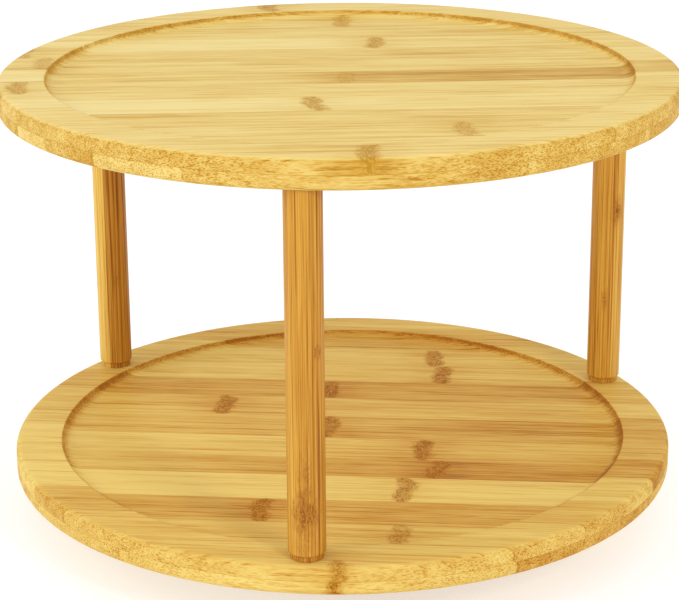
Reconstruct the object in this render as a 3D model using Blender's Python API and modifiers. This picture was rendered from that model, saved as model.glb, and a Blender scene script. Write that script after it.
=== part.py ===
"""Two-tier round turntable of laminated bamboo on a flat steel ball bearing.

Metres, +Z up. The turning axis is Z and the rubber feet stand on Z = 0.
"""

import math

import bmesh
import bpy
from mathutils import Matrix

# Trays
TRAY_DIAMETER = 0.254
TRAY_THICKNESS = 0.011
TRAY_EDGE_ROUND = 0.0024
RIM_WIDTH = 0.0178
RIM_ARRIS = 0.0006
RECESS_DEPTH = 0.0026
RECESS_COVE = 0.0046
TIER_GAP = 0.132
TRAY_STEPS = 64

# Posts, centred on the width of the rim
POST_COUNT = 3
POST_DIAMETER = 0.0132
POST_FIRST_ANGLE = math.radians(24)
POST_END_STEP = 0.0007
POST_END_HEIGHT = 0.0028
POST_STEPS = 24

# Fasteners of the posts
INSERT_DIAMETER = 0.0072
INSERT_LENGTH = 0.0105
INSERT_COLLAR_STEP = 0.0006
INSERT_COLLAR_HEIGHT = 0.0012
TRAY_INSERT_LENGTH = 0.0074
THREAD_DIAMETER = 0.0048
STUD_LENGTH = 0.026
BOLT_HEAD_DIAMETER = 0.0094
BOLT_HEAD_HEIGHT = 0.0022
BOLT_REACH = 0.0085
COUNTERBORE_DEPTH = 0.0034

# Bearing
PLATE_WIDTH = 0.1
PLATE_CORNER = 0.009
SHEET = 0.001
PLATE_SCREW_INSET = 0.007
PLATE_SCREW_COUNT = 4
SQUARE_CORNER_ANGLE = math.radians(45)
LOWER_CORNER_ANGLE = math.radians(45)
UPPER_CORNER_ANGLE = 0.0
BALL_DIAMETER = 0.00476
BALL_COUNT = 16
BALL_STEPS = 10
BALL_RINGS = 6
BALL_PITCH_RADIUS = 0.036
RACE_FLOOR = 0.65
RACE_DEPTH = 0.0016
RACE_RIDGE = 0.0016
CAGE_THICKNESS = 0.0008
CAGE_WIDTH = 0.0084
RIVET_DIAMETER = 0.012
RIVET_BORE = 0.0096
RIVET_FLANGE_DIAMETER = 0.019
RIVET_WALL = 0.0007
PLATE_STEPS = 40

# Wood screws
SCREW_DIAMETER = 0.0032
SCREW_HEAD_DIAMETER = 0.0068
SCREW_HEAD_HEIGHT = 0.0017
SCREW_STEPS = 10
CROSS_SLOT = 0.0009
CROSS_REACH = 0.3
CROSS_TAPER = 0.7
HEAD_FLAT = 0.5
HEAD_SIDE = 0.3
BLUNT_END = 0.7
BLUNT_HEIGHT = 0.15

# Base
BASE_DIAMETER = 0.152
BASE_THICKNESS = 0.007
BASE_EDGE_ROUND = 0.0018
ACCESS_HOLE_DIAMETER = 0.0125
FOOT_COUNT = 4
FOOT_DIAMETER = 0.016
FOOT_HEIGHT = 0.0026
FOOT_INSET = 0.0115
FOOT_EDGE_ROUND = 0.0006
FOOT_SCREW_SINK = 0.0013
FOOT_FIRST_ANGLE = math.radians(22.5)
FOOT_STEPS = 16

# Clearances
SEAT_GAP = 0.0003
BORE_GAP = 0.0003
BALL_GAP = 0.00015
WOOD_LEFT_UNDER_SCREW = 0.0012
CUT_OVERRUN = 0.002

# Radii and levels that follow from the sizes above
TRAY_RADIUS = TRAY_DIAMETER / 2
RECESS_RADIUS = TRAY_RADIUS - RIM_WIDTH
RECESS_FLOOR = TRAY_THICKNESS - RECESS_DEPTH
POST_CIRCLE = TRAY_RADIUS - RIM_WIDTH / 2
POST_RADIUS = POST_DIAMETER / 2
POST_LENGTH = TIER_GAP - 2 * SEAT_GAP
POST_FOOT_Z = TRAY_THICKNESS + SEAT_GAP
UPPER_TRAY_Z = TRAY_THICKNESS + TIER_GAP
BALL_RADIUS = BALL_DIAMETER / 2
BEARING_HEIGHT = BALL_DIAMETER + 2 * (BALL_GAP + SHEET)
BASE_Z = FOOT_HEIGHT + SEAT_GAP
LOWER_PLATE_Z = BASE_Z + BASE_THICKNESS + SEAT_GAP
BALL_Z = LOWER_PLATE_Z + BEARING_HEIGHT / 2
UPPER_PLATE_Z = LOWER_PLATE_Z + BEARING_HEIGHT
TURNTABLE_Z = UPPER_PLATE_Z + SEAT_GAP
PLATE_SCREW_CIRCLE = math.hypot(1, 1) * (PLATE_WIDTH / 2 - PLATE_SCREW_INSET)
FOOT_CIRCLE = BASE_DIAMETER / 2 - FOOT_INSET

parts = bpy.data.collections.new("two_tier_turntable")
cutters = bpy.data.collections.new("cutters")


def clear_scene():
    for obj in list(bpy.data.objects):
        bpy.data.objects.remove(obj, do_unlink=True)
    for collection in (parts, cutters):
        bpy.context.scene.collection.children.link(collection)
    cutters.hide_render = True


def make_material(name, colour, roughness, metallic=0.0):
    material = bpy.data.materials.new(name)
    material.use_nodes = True
    shader = material.node_tree.nodes["Principled BSDF"]
    shader.inputs["Base Color"].default_value = (*colour, 1.0)
    shader.inputs["Roughness"].default_value = roughness
    shader.inputs["Metallic"].default_value = metallic
    return material


def on_circle(radius, angle, z=0.0):
    return (radius * math.cos(angle), radius * math.sin(angle), z)


def spread(count, first):
    """Angles of count places evenly spread round the axis."""
    return [first + 2 * math.pi * i / count for i in range(count)]


def arc(centre_r, centre_z, radius_r, radius_z, start, end, steps):
    """Points of a quarter ellipse in a profile, with its angles in degrees."""
    points = []
    for i in range(steps + 1):
        angle = math.radians(start + (end - start) * i / steps)
        r = centre_r + radius_r * math.cos(angle)
        z = centre_z + radius_z * math.sin(angle)
        points.append((r, z))
    return points


def link_object(name, mesh, collection, parent=None, location=(0, 0, 0), turn=0.0):
    obj = bpy.data.objects.new(name, mesh)
    collection.objects.link(obj)
    obj.parent = parent
    obj.location = location
    obj.rotation_euler = (0, 0, turn)
    return obj


def add_turned(name, profile, steps, material, closed=False, **place):
    """A profile of (radius, height) points screwed round Z, its outer side listed top to bottom."""
    mesh = bpy.data.meshes.new(name)
    count = len(profile)
    edges = [(i, i + 1) for i in range(count - 1)]
    if closed:
        edges.append((count - 1, 0))
    mesh.from_pydata([(r, 0, z) for r, z in profile], edges, [])
    mesh.materials.append(material)
    obj = link_object(name, mesh, parts, **place)
    screw = obj.modifiers.new("turn", "SCREW")
    screw.steps = steps
    screw.render_steps = steps
    screw.use_merge_vertices = True
    screw.merge_threshold = 0.00001
    screw.use_smooth_shade = True
    return obj


def add_cutter(name, mesh, target):
    cutter = link_object(name, mesh, cutters, parent=target.parent)
    cutter.location = target.location
    cutter.rotation_euler = target.rotation_euler
    cutter.display_type = "WIRE"
    cutter.hide_render = True
    return cutter


def cut(target, cutter, operation="DIFFERENCE"):
    boolean = target.modifiers.new(cutter.name, "BOOLEAN")
    boolean.operation = operation
    boolean.solver = "EXACT"
    boolean.object = cutter


def drill(target, name, centres, radius, low, high, steps=16):
    """Cuts round holes from height low to height high, in the target's own frame."""
    mesh = bpy.data.meshes.new(name)
    shape = bmesh.new()
    for x, y, _ in centres:
        bmesh.ops.create_cone(
            shape,
            cap_ends=True,
            segments=steps,
            radius1=radius,
            radius2=radius,
            depth=high - low,
            matrix=Matrix.Translation((x, y, (high + low) / 2)),
        )
    shape.to_mesh(mesh)
    shape.free()
    cut(target, add_cutter(name, mesh, target))


def outline_mesh(name, outline, low, high):
    """A flat outline of (x, y) points as a closed prism between two heights."""
    curve = bpy.data.curves.new(name, "CURVE")
    curve.dimensions = "2D"
    curve.fill_mode = "BOTH"
    curve.extrude = (high - low) / 2
    spline = curve.splines.new("POLY")
    spline.points.add(len(outline) - 1)
    for point, (x, y) in zip(spline.points, outline):
        point.co = (x, y, 0, 1)
    spline.use_cyclic_u = True
    holder = bpy.data.objects.new(name, curve)
    bpy.context.scene.collection.objects.link(holder)
    graph = bpy.context.evaluated_depsgraph_get()
    mesh = bpy.data.meshes.new_from_object(holder.evaluated_get(graph))
    bpy.data.objects.remove(holder)
    shape = bmesh.new()
    shape.from_mesh(mesh)
    bmesh.ops.remove_doubles(shape, verts=shape.verts, dist=0.000001)
    bmesh.ops.translate(shape, verts=shape.verts, vec=(0, 0, (high + low) / 2))
    bmesh.ops.recalc_face_normals(shape, faces=shape.faces)
    shape.to_mesh(mesh)
    shape.free()
    return mesh


def rounded_square(width, corner):
    reach = width / 2 - corner
    outline = []
    for quarter in range(4):
        start = 90 * quarter
        turn = math.radians(start + 45)
        centre_x = math.copysign(reach, math.cos(turn))
        centre_y = math.copysign(reach, math.sin(turn))
        outline += arc(centre_x, centre_y, corner, corner, start, start + 90, 4)
    return outline


def cross_outline(arm):
    """Outline of a cross recess: four arms that narrow outwards."""
    half = CROSS_SLOT / 2
    quarter = [(arm, -half * CROSS_TAPER), (arm, half * CROSS_TAPER), (half, half)]
    outline = []
    for turn in range(4):
        c, s = round(math.cos(turn * math.pi / 2)), round(math.sin(turn * math.pi / 2))
        outline += [(x * c - y * s, x * s + y * c) for x, y in quarter]
    return outline


def cut_cross_recess(screw, head_diameter, head_height):
    outline = cross_outline(head_diameter * CROSS_REACH)
    name = screw.name + "_recess"
    mesh = outline_mesh(name, outline, head_height / 2, head_height + CUT_OVERRUN)
    cut(screw, add_cutter(name, mesh, screw))


def add_screw(name, material, diameter, length, head_diameter, head_height, pointed, **place):
    """A pan head standing on Z = 0 with its shank below. Upside down, it drives upwards."""
    shank = diameter / 2
    tip = diameter if pointed else diameter * BLUNT_HEIGHT
    end = 0.0 if pointed else shank * BLUNT_END
    head = head_diameter / 2
    flat = head * HEAD_FLAT
    side = head_height * HEAD_SIDE
    profile = [(0, head_height)]
    profile += arc(flat, side, head - flat, head_height - side, 90, 0, 2)
    profile += [(head, 0), (shank, 0), (shank, tip - length), (end, -length)]
    if not pointed:
        profile.append((0, -length))
    over = place.pop("upside_down", False)
    screw = add_turned(name, profile, SCREW_STEPS, material, **place)
    if over:
        screw.rotation_euler = (math.pi, 0, 0)
    cut_cross_recess(screw, head_diameter, head_height)
    return screw


def add_tray(name, material, **place):
    rounding = TRAY_EDGE_ROUND
    round_centre = TRAY_RADIUS - rounding
    cove_centre = RECESS_RADIUS - RECESS_COVE
    cove_top = TRAY_THICKNESS - RIM_ARRIS
    profile = [(0, RECESS_FLOOR)]
    profile += arc(cove_centre, cove_top, RECESS_COVE, RECESS_DEPTH - RIM_ARRIS, -90, 0, 3)
    profile.append((RECESS_RADIUS + RIM_ARRIS, TRAY_THICKNESS))
    profile += arc(round_centre, TRAY_THICKNESS - rounding, rounding, rounding, 90, 0, 2)
    profile += arc(round_centre, rounding, rounding, rounding, 0, -90, 2)
    profile.append((0, 0))
    return add_turned(name, profile, TRAY_STEPS, material, **place)


def add_upper_tray(material, turntable):
    tray = add_tray("upper_tray", material, parent=turntable, location=(0, 0, UPPER_TRAY_Z))
    centres = [on_circle(POST_CIRCLE, angle) for angle in spread(POST_COUNT, POST_FIRST_ANGLE)]
    drill(
        tray,
        "upper_tray_insert_holes",
        centres,
        INSERT_DIAMETER / 2 + BORE_GAP,
        -CUT_OVERRUN,
        TRAY_INSERT_LENGTH + SEAT_GAP + BORE_GAP,
    )


def add_lower_tray(material, turntable):
    tray = add_tray("lower_tray", material, parent=turntable)
    posts = [on_circle(POST_CIRCLE, angle) for angle in spread(POST_COUNT, POST_FIRST_ANGLE)]
    screws = [
        on_circle(PLATE_SCREW_CIRCLE, angle)
        for angle in spread(PLATE_SCREW_COUNT, UPPER_CORNER_ANGLE)
    ]
    bolt_hole = THREAD_DIAMETER / 2 + BORE_GAP
    drill(tray, "bolt_holes", posts, bolt_hole, -CUT_OVERRUN, TRAY_THICKNESS + CUT_OVERRUN)
    drill(
        tray,
        "bolt_counterbores",
        posts,
        BOLT_HEAD_DIAMETER / 2 + BORE_GAP,
        -CUT_OVERRUN,
        COUNTERBORE_DEPTH,
    )
    drill(
        tray,
        "plate_screw_pilots",
        screws,
        SCREW_DIAMETER / 2 + BORE_GAP,
        -CUT_OVERRUN,
        RECESS_FLOOR - WOOD_LEFT_UNDER_SCREW,
        SCREW_STEPS,
    )


def add_post(name, material, **place):
    """A post with a stud bore at its top end and an insert bore at its foot."""
    stud_bore = THREAD_DIAMETER / 2 + BORE_GAP
    stud_depth = STUD_LENGTH - TRAY_INSERT_LENGTH
    insert_bore = INSERT_DIAMETER / 2 + BORE_GAP
    foot_radius = POST_RADIUS - POST_END_STEP
    shoulder = POST_END_HEIGHT - POST_END_STEP
    top_ease = POST_END_STEP / 2
    profile = [
        (0, POST_LENGTH - stud_depth),
        (stud_bore, POST_LENGTH - stud_depth),
        (stud_bore, POST_LENGTH),
        (POST_RADIUS - top_ease, POST_LENGTH),
        (POST_RADIUS, POST_LENGTH - top_ease),
        (POST_RADIUS, POST_END_HEIGHT),
        (foot_radius, shoulder),
        (foot_radius, 0),
        (insert_bore, 0),
        (insert_bore, INSERT_LENGTH + BORE_GAP),
        (0, INSERT_LENGTH + BORE_GAP),
    ]
    return add_turned(name, profile, POST_STEPS, material, **place)


def add_insert(name, material, length, **place):
    """A threaded sleeve, open at both ends, with a collar at its lower mouth."""
    bore = THREAD_DIAMETER / 2 + BORE_GAP
    collar = INSERT_DIAMETER / 2
    sleeve = collar - INSERT_COLLAR_STEP
    profile = [
        (bore, length),
        (sleeve, length),
        (sleeve, INSERT_COLLAR_HEIGHT),
        (collar, INSERT_COLLAR_HEIGHT),
        (collar, 0),
        (bore, 0),
    ]
    return add_turned(name, profile, SCREW_STEPS, material, closed=True, **place)


def add_stud(name, material, **place):
    radius = THREAD_DIAMETER / 2
    ease = THREAD_DIAMETER * BLUNT_HEIGHT
    profile = [
        (0, STUD_LENGTH),
        (radius - ease, STUD_LENGTH),
        (radius, STUD_LENGTH - ease),
        (radius, ease),
        (radius - ease, 0),
        (0, 0),
    ]
    return add_turned(name, profile, SCREW_STEPS, material, **place)


def add_post_set(number, angle, materials, turntable):
    """One post with its two inserts, its stud and its bolt."""
    x, y, _ = on_circle(POST_CIRCLE, angle)
    foot = {"parent": turntable, "location": (x, y, POST_FOOT_Z)}
    tray_insert_z = UPPER_TRAY_Z + SEAT_GAP
    under_tray = {"parent": turntable, "location": (x, y, tray_insert_z)}
    stud_z = tray_insert_z + TRAY_INSERT_LENGTH - STUD_LENGTH
    stud = {"parent": turntable, "location": (x, y, stud_z)}
    add_post(f"post_{number}", materials["post"], turn=angle, **foot)
    add_insert(f"post_insert_{number}", materials["brass"], INSERT_LENGTH, **foot)
    add_insert(f"tray_insert_{number}", materials["brass"], TRAY_INSERT_LENGTH, **under_tray)
    add_stud(f"post_stud_{number}", materials["steel"], **stud)
    add_screw(
        f"post_bolt_{number}",
        materials["steel"],
        THREAD_DIAMETER,
        TRAY_THICKNESS - COUNTERBORE_DEPTH + BOLT_REACH,
        BOLT_HEAD_DIAMETER,
        BOLT_HEAD_HEIGHT,
        False,
        upside_down=True,
        parent=turntable,
        location=(x, y, COUNTERBORE_DEPTH - SEAT_GAP),
    )


def add_bearing_plate(name, material, flipped, **place):
    """Pressed sheet: flat square flange, ball groove, and a raised middle with the rivet hole."""
    ridge_top = SHEET + RACE_DEPTH
    floor_half = BALL_RADIUS * RACE_FLOOR
    lip_half = BALL_RADIUS + BORE_GAP
    slope = lip_half - floor_half
    ridge_outer = BALL_PITCH_RADIUS + lip_half + RACE_RIDGE
    profile = [
        (RIVET_DIAMETER / 2 + BORE_GAP, ridge_top),
        (BALL_PITCH_RADIUS - lip_half, ridge_top),
        (BALL_PITCH_RADIUS - floor_half, SHEET),
        (BALL_PITCH_RADIUS + floor_half, SHEET),
        (BALL_PITCH_RADIUS + lip_half, ridge_top),
        (ridge_outer, ridge_top),
        (ridge_outer + slope, SHEET),
        (PLATE_WIDTH, SHEET),
    ]
    plate = add_turned(name, profile, PLATE_STEPS, material, **place)
    solidify = plate.modifiers.new("sheet", "SOLIDIFY")
    solidify.thickness = SHEET
    solidify.offset = -1
    solidify.use_even_offset = True
    if flipped:
        plate.rotation_euler = (math.pi, 0, plate.rotation_euler.z)
    mesh = outline_mesh(
        name + "_blank",
        rounded_square(PLATE_WIDTH, PLATE_CORNER),
        -CUT_OVERRUN,
        ridge_top + CUT_OVERRUN,
    )
    cut(plate, add_cutter(name + "_blank", mesh, plate), "INTERSECT")
    reach = PLATE_WIDTH / 2 - PLATE_SCREW_INSET
    corners = [(x, y, 0) for x in (-reach, reach) for y in (-reach, reach)]
    screw_hole = SCREW_DIAMETER / 2 + BORE_GAP
    drill(plate, name + "_screw_holes", corners, screw_hole, -CUT_OVERRUN, ridge_top, SCREW_STEPS)
    return plate


def add_rivet(material, base):
    """Hollow rivet, turned out over both plates."""
    bore = RIVET_BORE / 2
    barrel = RIVET_DIAMETER / 2
    flange = RIVET_FLANGE_DIAMETER / 2
    lower_face = RACE_DEPTH - BORE_GAP
    upper_face = BEARING_HEIGHT - lower_face
    profile = [
        (bore, upper_face + RIVET_WALL),
        (flange - RIVET_WALL / 2, upper_face + RIVET_WALL),
        (flange, upper_face),
        (barrel, upper_face),
        (barrel, lower_face),
        (flange, lower_face),
        (flange - RIVET_WALL / 2, lower_face - RIVET_WALL),
        (bore, lower_face - RIVET_WALL),
    ]
    place = {"parent": base, "location": (0, 0, LOWER_PLATE_Z)}
    add_turned("centre_rivet", profile, POST_STEPS, material, closed=True, **place)


def add_cage(material, cage):
    half = CAGE_THICKNESS / 2
    inner = BALL_PITCH_RADIUS - CAGE_WIDTH / 2
    outer = BALL_PITCH_RADIUS + CAGE_WIDTH / 2
    profile = [(inner, half), (outer, half), (outer, -half), (inner, -half)]
    ring = add_turned("ball_cage", profile, PLATE_STEPS, material, closed=True, parent=cage)
    pockets = [on_circle(BALL_PITCH_RADIUS, angle) for angle in spread(BALL_COUNT, 0.0)]
    pocket = BALL_RADIUS + BORE_GAP
    drill(ring, "ball_pockets", pockets, pocket, -CAGE_THICKNESS, CAGE_THICKNESS, BALL_STEPS)


def add_balls(material, cage):
    """Each ball's local X points outwards, along the axis that it rolls about."""
    mesh = bpy.data.meshes.new("bearing_ball")
    shape = bmesh.new()
    bmesh.ops.create_uvsphere(
        shape, u_segments=BALL_STEPS, v_segments=BALL_RINGS, radius=BALL_RADIUS
    )
    shape.to_mesh(mesh)
    shape.free()
    mesh.shade_smooth()
    mesh.materials.append(material)
    for number, angle in enumerate(spread(BALL_COUNT, 0.0), start=1):
        centre = on_circle(BALL_PITCH_RADIUS, angle)
        link_object(f"ball_{number:02d}", mesh, parts, cage, centre, angle)


def add_plate_screws(material, base, turntable):
    lower_length = BASE_THICKNESS - WOOD_LEFT_UNDER_SCREW
    upper_length = RECESS_FLOOR - WOOD_LEFT_UNDER_SCREW - BORE_GAP
    stand_off = SHEET + SEAT_GAP
    sizes = (SCREW_HEAD_DIAMETER, SCREW_HEAD_HEIGHT, True)
    lower_angles = spread(PLATE_SCREW_COUNT, LOWER_CORNER_ANGLE)
    upper_angles = spread(PLATE_SCREW_COUNT, UPPER_CORNER_ANGLE)
    for number, (lower, upper) in enumerate(zip(lower_angles, upper_angles), start=1):
        add_screw(
            f"lower_plate_screw_{number}",
            material,
            SCREW_DIAMETER,
            lower_length + stand_off,
            *sizes,
            parent=base,
            location=on_circle(PLATE_SCREW_CIRCLE, lower, LOWER_PLATE_Z + stand_off),
        )
        add_screw(
            f"upper_plate_screw_{number}",
            material,
            SCREW_DIAMETER,
            upper_length + stand_off + SEAT_GAP,
            *sizes,
            upside_down=True,
            parent=turntable,
            location=on_circle(PLATE_SCREW_CIRCLE, upper, -SEAT_GAP - stand_off),
        )


def add_base_disc(material, base):
    radius = BASE_DIAMETER / 2
    rounding = BASE_EDGE_ROUND
    centre = radius - rounding
    profile = [(0, BASE_THICKNESS)]
    profile += arc(centre, BASE_THICKNESS - rounding, rounding, rounding, 90, 0, 2)
    profile += arc(centre, rounding, rounding, rounding, 0, -90, 2)
    profile.append((0, 0))
    place = {"parent": base, "location": (0, 0, BASE_Z)}
    disc = add_turned("base_disc", profile, PLATE_STEPS, material, **place)
    top = BASE_THICKNESS + CUT_OVERRUN
    pilot = SCREW_DIAMETER / 2 + BORE_GAP
    access = [on_circle(PLATE_SCREW_CIRCLE, UPPER_CORNER_ANGLE)]
    plate_screws = [
        on_circle(PLATE_SCREW_CIRCLE, angle)
        for angle in spread(PLATE_SCREW_COUNT, LOWER_CORNER_ANGLE)
    ]
    feet = [on_circle(FOOT_CIRCLE, angle) for angle in spread(FOOT_COUNT, FOOT_FIRST_ANGLE)]
    drill(disc, "access_hole", access, ACCESS_HOLE_DIAMETER / 2, -CUT_OVERRUN, top, FOOT_STEPS)
    plate_pilot_low = WOOD_LEFT_UNDER_SCREW - BORE_GAP
    foot_pilot_high = BASE_THICKNESS - WOOD_LEFT_UNDER_SCREW + BORE_GAP
    drill(disc, "lower_screw_pilots", plate_screws, pilot, plate_pilot_low, top, SCREW_STEPS)
    drill(disc, "foot_screw_pilots", feet, pilot, -CUT_OVERRUN, foot_pilot_high, SCREW_STEPS)


def add_feet(rubber, steel, base):
    outer = FOOT_DIAMETER / 2
    bore = SCREW_DIAMETER / 2 + BORE_GAP
    sink = SCREW_HEAD_DIAMETER / 2 + BORE_GAP
    seat = FOOT_SCREW_SINK + SEAT_GAP
    head_height = FOOT_SCREW_SINK - SEAT_GAP
    profile = [(bore, FOOT_HEIGHT), (outer, FOOT_HEIGHT)]
    rounding = FOOT_EDGE_ROUND
    profile += arc(outer - rounding, rounding, rounding, rounding, 0, -90, 2)
    profile += [(sink, 0), (sink, seat), (bore, seat)]
    reach = BASE_THICKNESS - WOOD_LEFT_UNDER_SCREW + BASE_Z - FOOT_SCREW_SINK
    for number, angle in enumerate(spread(FOOT_COUNT, FOOT_FIRST_ANGLE), start=1):
        place = {"parent": base, "location": on_circle(FOOT_CIRCLE, angle)}
        add_turned(f"rubber_foot_{number}", profile, FOOT_STEPS, rubber, closed=True, **place)
        place["location"] = on_circle(FOOT_CIRCLE, angle, FOOT_SCREW_SINK)
        sizes = (SCREW_HEAD_DIAMETER, head_height, True)
        add_screw(
            f"foot_screw_{number}", steel, SCREW_DIAMETER, reach, *sizes, upside_down=True, **place
        )


def build():
    clear_scene()
    materials = {
        "tray": make_material("bamboo_tray", (0.78, 0.49, 0.19), 0.42),
        "post": make_material("bamboo_post", (0.66, 0.33, 0.09), 0.45),
        "steel": make_material("zinc_plated_steel", (0.62, 0.62, 0.6), 0.35, 1.0),
        "ball": make_material("ball_steel", (0.75, 0.75, 0.76), 0.12, 1.0),
        "brass": make_material("brass", (0.78, 0.57, 0.24), 0.32, 1.0),
        "plastic": make_material("white_nylon", (0.8, 0.8, 0.76), 0.5),
        "rubber": make_material("black_rubber", (0.03, 0.03, 0.03), 0.8),
    }
    base = link_object("base_origin", None, parts)
    turntable = link_object("turntable_origin", None, parts, location=(0, 0, TURNTABLE_Z))
    cage = link_object("cage_origin", None, parts, location=(0, 0, BALL_Z))

    add_upper_tray(materials["tray"], turntable)
    add_lower_tray(materials["tray"], turntable)
    for number, angle in enumerate(spread(POST_COUNT, POST_FIRST_ANGLE), start=1):
        add_post_set(number, angle, materials, turntable)

    lower_place = {"parent": base, "location": (0, 0, LOWER_PLATE_Z)}
    lower_turn = LOWER_CORNER_ANGLE - SQUARE_CORNER_ANGLE
    add_bearing_plate("lower_plate", materials["steel"], False, turn=lower_turn, **lower_place)
    upper_place = {"parent": turntable, "location": (0, 0, -SEAT_GAP)}
    upper_turn = UPPER_CORNER_ANGLE - SQUARE_CORNER_ANGLE
    add_bearing_plate("upper_plate", materials["steel"], True, turn=upper_turn, **upper_place)
    add_rivet(materials["steel"], base)
    add_cage(materials["plastic"], cage)
    add_balls(materials["ball"], cage)
    add_plate_screws(materials["steel"], base, turntable)

    add_base_disc(materials["tray"], base)
    add_feet(materials["rubber"], materials["steel"], base)


build()
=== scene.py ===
import math

import bmesh
import bpy
from mathutils import Matrix, Vector


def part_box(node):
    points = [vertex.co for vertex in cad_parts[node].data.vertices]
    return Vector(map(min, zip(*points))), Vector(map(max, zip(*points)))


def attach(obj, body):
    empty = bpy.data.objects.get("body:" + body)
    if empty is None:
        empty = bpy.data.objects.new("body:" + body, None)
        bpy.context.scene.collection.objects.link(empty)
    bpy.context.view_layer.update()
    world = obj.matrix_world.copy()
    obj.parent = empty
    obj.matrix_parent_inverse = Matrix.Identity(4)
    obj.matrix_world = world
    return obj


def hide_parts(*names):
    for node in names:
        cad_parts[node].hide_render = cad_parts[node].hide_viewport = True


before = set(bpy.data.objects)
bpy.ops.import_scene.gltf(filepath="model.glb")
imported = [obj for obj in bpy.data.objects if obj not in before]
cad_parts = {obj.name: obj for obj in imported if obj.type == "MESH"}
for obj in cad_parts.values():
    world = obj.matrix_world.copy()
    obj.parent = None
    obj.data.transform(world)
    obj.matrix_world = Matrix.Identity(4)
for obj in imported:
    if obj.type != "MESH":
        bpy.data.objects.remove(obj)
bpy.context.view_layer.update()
mm = 0.001


# Shader nodes as sums: a Wire is one socket, a Finish is one material

class Wire:
    def __init__(self, finish, socket):
        self.finish = finish
        self.socket = socket

    def out(self, name):
        return Wire(self.finish, self.socket.node.outputs[name])

    def __add__(self, other):
        return self.finish.math("ADD", self, other)

    def __radd__(self, other):
        return self.finish.math("ADD", other, self)

    def __sub__(self, other):
        return self.finish.math("SUBTRACT", self, other)

    def __rsub__(self, other):
        return self.finish.math("SUBTRACT", other, self)

    def __mul__(self, other):
        return self.finish.math("MULTIPLY", self, other)

    def __rmul__(self, other):
        return self.finish.math("MULTIPLY", other, self)

    def __truediv__(self, other):
        return self.finish.math("DIVIDE", self, other)

    def __rtruediv__(self, other):
        return self.finish.math("DIVIDE", other, self)

    def __abs__(self):
        return self.finish.math("ABSOLUTE", self)


class Finish:
    def __init__(self, name, **constants):
        self.material = bpy.data.materials.new(name)
        self.material.use_nodes = True
        self.tree = self.material.node_tree
        self.shader = self.tree.nodes["Principled BSDF"]
        for socket, value in constants.items():
            self.shader.inputs[socket.replace("_", " ")].default_value = value

    def add(self, kind, settings=None, inputs=None, out=0):
        node = self.tree.nodes.new(kind)
        for name, value in (settings or {}).items():
            if name == "stops":
                ramp = node.color_ramp
                while len(ramp.elements) < len(value):
                    ramp.elements.new(1.0)
                for element, (position, colour) in zip(ramp.elements, value):
                    element.position = position
                    element.color = (*colour, 1.0)
            elif name == "stepped":
                node.color_ramp.interpolation = "CONSTANT"
            else:
                setattr(node, name, value)
        for name, value in (inputs or {}).items():
            if isinstance(value, Wire):
                self.tree.links.new(value.socket, node.inputs[name])
            else:
                node.inputs[name].default_value = value
        return Wire(self, node.outputs[out])

    def math(self, operation, *values):
        return self.add("ShaderNodeMath", {"operation": operation}, dict(enumerate(values)))

    def split(self, vector):
        parts = self.add("ShaderNodeSeparateXYZ", None, {0: vector})
        return parts, parts.out("Y"), parts.out("Z")

    def join(self, x, y, z):
        return self.add("ShaderNodeCombineXYZ", None, {0: x, 1: y, 2: z})

    def noise(self, vector, detail=2.0, roughness=0.5, distortion=0.0, scale=1.0):
        sockets = {"Vector": vector, "Scale": scale, "Detail": detail}
        sockets.update({"Roughness": roughness, "Distortion": distortion})
        return self.add("ShaderNodeTexNoise", None, sockets)

    def fade(self, value, low, high):
        sockets = {"Value": value, "From Min": low, "From Max": high}
        return self.add("ShaderNodeMapRange", {"interpolation_type": "SMOOTHSTEP"}, sockets)

    def ramp(self, value, stops, stepped=False):
        settings = {"stepped": True, "stops": stops} if stepped else {"stops": stops}
        return self.add("ShaderNodeValToRGB", settings, {0: value})

    def mix(self, factor, first, second, way="MIX"):
        settings = {"data_type": "RGBA", "blend_type": way}
        colours = [c if isinstance(c, Wire) else (*c, 1.0) for c in (first, second)]
        return self.add("ShaderNodeMix", settings, {0: factor, 6: colours[0], 7: colours[1]}, 2)

    def bump(self, height, strength, distance):
        sockets = {"Height": height, "Strength": strength, "Distance": distance}
        return self.add("ShaderNodeBump", None, sockets)

    def surface(self, **sockets):
        for name, wire in sockets.items():
            self.tree.links.new(wire.socket, self.shader.inputs[name.replace("_", " ")])
        return self.material


# Meshes

def arc(centreR, centreZ, radiusR, radiusZ, start, end, steps):
    points = []
    for i in range(steps + 1):
        angle = math.radians(start + (end - start) * i / steps)
        points.append((centreR + radiusR * math.cos(angle), centreZ + radiusZ * math.sin(angle)))
    return points


def onCircle(radius, degrees, z=0.0):
    angle = math.radians(degrees)
    return Vector((radius * math.cos(angle), radius * math.sin(angle), z))


def middle(node):
    low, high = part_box(node)
    return (low + high) / 2


def numbered(name, count):
    return [f"{name}_{n}" for n in range(1, count + 1)]


def flat(places):
    return [Vector((p.x, p.y, 0)) for p in places]


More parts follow.
